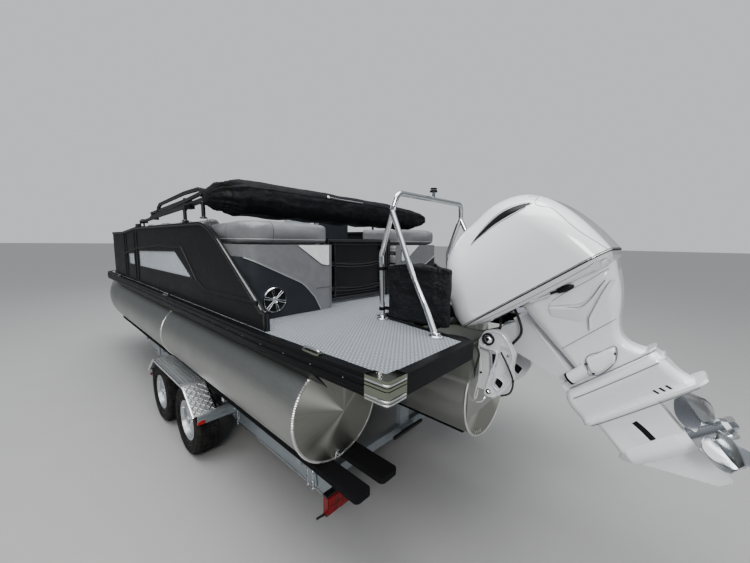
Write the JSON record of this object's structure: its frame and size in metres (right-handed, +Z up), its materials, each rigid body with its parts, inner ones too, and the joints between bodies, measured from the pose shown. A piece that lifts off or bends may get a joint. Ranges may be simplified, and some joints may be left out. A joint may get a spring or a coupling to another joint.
{
  "type": "pontoon boat on a tandem-axle trailer",
  "caption": "Tritoon pontoon boat with fenced deck, lounges, folded sunshade, tow bar and tilting outboard engine, standing on a tandem-axle bunk trailer.",
  "frame": {"origin": "on the ground under the middle of the whole length, between the sides", "axes": "+X towards the bow, +Y to port, +Z up"},
  "size_m": [9.3362, 2.63, 2.5467],
  "materials": {
    "tube_aluminium": "brushed, with bright weld beads",
    "beam_aluminium": "mill",
    "woven_floor": "woven vinyl",
    "rail_black": "satin",
    "bright_casting": "polished",
    "skirt_black": "satin, ribbed",
    "fence_black": "satin",
    "tinted_acrylic": "gloss blue-grey",
    "gate_black": "satin",
    "vinyl_grey": "grained vinyl",
    "vinyl_charcoal": "grained vinyl",
    "vinyl_white": "grained vinyl",
    "speaker_bright": "polished",
    "console_grey": "satin",
    "grip_black": "satin",
    "pedestal_aluminium": "anodised",
    "polished_stainless": "polished",
    "bag_cloth": "coated cloth",
    "shade_aluminium": "satin black",
    "shade_fittings": "matte black",
    "canvas_black": "woven canvas",
    "bracket_white": "gloss",
    "cylinder_dark": "satin",
    "rod_steel": "ground",
    "engine_white": "gloss",
    "propeller_steel": "dark stainless",
    "galvanised_steel": "galvanised",
    "bunk_carpet": "carpet",
    "axle_steel": "galvanised",
    "tread_plate": "diamond tread",
    "coupler_zinc": "zinc plated",
    "jack_zinc": "zinc plated",
    "light_red": "gloss lens",
    "light_black": "gloss",
    "tyre_black": "matte",
    "rim_silver": "machined alloy"
  },
  "bodies": {
    "hull": {"pontoon_port": "tube_aluminium", "pontoon_starboard": "tube_aluminium", "pontoon_centre": "tube_aluminium", "deck_beams": "beam_aluminium", "deck": "woven_floor", "edge_rail": "rail_black", "deck_fittings": "bright_casting", "skirts": "skirt_black", "fence_port": "fence_black", "fence_starboard": "fence_black", "fence_bow": "fence_black", "windows": "tinted_acrylic", "gate_posts": "gate_black", "lounge_shell_port": "vinyl_grey", "lounge_shell_starboard": "vinyl_grey", "lounge_pads_port": "vinyl_grey", "lounge_pads_starboard": "vinyl_grey", "bow_shells": "vinyl_grey", "bow_pads": "vinyl_grey", "back_inserts": "vinyl_charcoal", "back_corners": "vinyl_white", "speakers": "speaker_bright", "helm_console": "console_grey", "helm_pedestal": "pedestal_aluminium", "ski_bar": "polished_stainless", "bag": "bag_cloth", "shade_mounts": "shade_fittings", "clamp_bracket": "bracket_white", "trailer_frame": "galvanised_steel", "bunks": "bunk_carpet", "axles": "axle_steel", "fenders": "tread_plate", "coupler": "coupler_zinc", "jack_body": "jack_zinc", "winch_stand": "galvanised_steel", "tail_lights": "light_red", "light_bar": "light_black"},
    "aft_gate": {"aft_gate": "gate_black"},
    "bow_gate": {"bow_gate": "gate_black"},
    "steering_wheel": {"steering_wheel": "grip_black"},
    "helm_seat": {"helm_seat_frame": "vinyl_charcoal", "helm_seat_pads": "vinyl_grey"},
    "sunshade": {"shade_frame": "shade_aluminium", "shade_boot": "canvas_black"},
    "swivel": {"swivel_bracket": "bracket_white"},
    "engine": {"engine_cowl": "engine_white", "engine_pan": "engine_white", "engine_leg": "engine_white"},
    "propeller": {"propeller": "propeller_steel"},
    "tilt_cylinder": {"tilt_cylinder": "cylinder_dark"},
    "tilt_rod": {"tilt_rod": "rod_steel"},
    "jack_leg": {"jack_leg": "jack_zinc"},
    "wheel_aft_port": {"tyre_aft_port": "tyre_black", "rim_aft_port": "rim_silver"},
    "wheel_aft_starboard": {"tyre_aft_starboard": "tyre_black", "rim_aft_starboard": "rim_silver"},
    "wheel_fwd_port": {"tyre_fwd_port": "tyre_black", "rim_fwd_port": "rim_silver"},
    "wheel_fwd_starboard": {"tyre_fwd_starboard": "tyre_black", "rim_fwd_starboard": "rim_silver"}
  },
  "joints": [
    {"name": "wheel_aft_port_spin", "type": "hinge", "parent": "hull", "child": "wheel_aft_port", "pos_m": [-1.02, 1.178, 0.333], "axis": [0, 1, 0], "continuous": true},
    {"name": "wheel_aft_starboard_spin", "type": "hinge", "parent": "hull", "child": "wheel_aft_starboard", "pos_m": [-1.02, -1.178, 0.333], "axis": [0, 1, 0], "continuous": true},
    {"name": "wheel_fwd_port_spin", "type": "hinge", "parent": "hull", "child": "wheel_fwd_port", "pos_m": [-0.165, 1.178, 0.333], "axis": [0, 1, 0], "continuous": true},
    {"name": "wheel_fwd_starboard_spin", "type": "hinge", "parent": "hull", "child": "wheel_fwd_starboard", "pos_m": [-0.165, -1.178, 0.333], "axis": [0, 1, 0], "continuous": true},
    {"name": "engine_tilt", "type": "hinge", "parent": "hull", "child": "swivel", "pos_m": [-3.513, 0, 1.466], "axis": [0, 1, 0], "range_deg": [-42, 24]},
    {"name": "engine_steer", "type": "hinge", "parent": "swivel", "child": "engine", "pos_m": [-3.66534, 0, 1.60317], "axis": [0.6691, 0, 0.7431], "range_deg": [-28, 28]},
    {"name": "propeller_spin", "type": "hinge", "parent": "engine", "child": "propeller", "pos_m": [-4.56036, 0, 1.18453], "axis": [0.7431, 0, -0.6691], "continuous": true},
    {"name": "tilt_cylinder_swing", "type": "hinge", "parent": "hull", "child": "tilt_cylinder", "pos_m": [-3.528, 0, 1.112], "axis": [0, 1, 0], "range_deg": [-6, 6]},
    {"name": "tilt_rod_slide", "type": "slide", "parent": "tilt_cylinder", "child": "tilt_rod", "axis": [-0.1624, 0, 0.9867], "range_m": [-0.0585, 0.0335]},
    {"name": "steering_wheel_turn", "type": "hinge", "parent": "hull", "child": "steering_wheel", "pos_m": [-0.035, -0.87, 2.06], "axis": [-0.9207, 0, 0.3903], "range_deg": [-545, 545]},
    {"name": "helm_seat_swivel", "type": "hinge", "parent": "hull", "child": "helm_seat", "pos_m": [-0.55, -0.76, 1.816], "axis": [0, 0, 1], "range_deg": [-180, 180]},
    {"name": "aft_gate_swing", "type": "hinge", "parent": "hull", "child": "aft_gate", "pos_m": [-2.059, 0.412, 1.536], "axis": [0, 0, 1], "range_deg": [0, 90]},
    {"name": "bow_gate_swing", "type": "hinge", "parent": "hull", "child": "bow_gate", "pos_m": [2.589, 0.387, 1.536], "axis": [0, 0, 1], "range_deg": [-90, 0]},
    {"name": "sunshade_fold", "type": "hinge", "parent": "hull", "child": "sunshade", "pos_m": [0.65, 0, 2.29], "axis": [0, 1, 0], "range_deg": [0, 75]},
    {"name": "jack_leg_slide", "type": "slide", "parent": "hull", "child": "jack_leg", "axis": [0, 0, 1], "range_m": [-0.1, 0.2]}
  ],
  "couplings": [
    {"joint": "tilt_cylinder_swing", "follows": "engine_tilt", "ratio": 0.0977},
    {"joint": "tilt_rod_slide", "follows": "engine_tilt", "m_per_rad": 0.0792},
    {"joint": "steering_wheel_turn", "follows": "engine_steer", "ratio": -19.286}
  ]
}
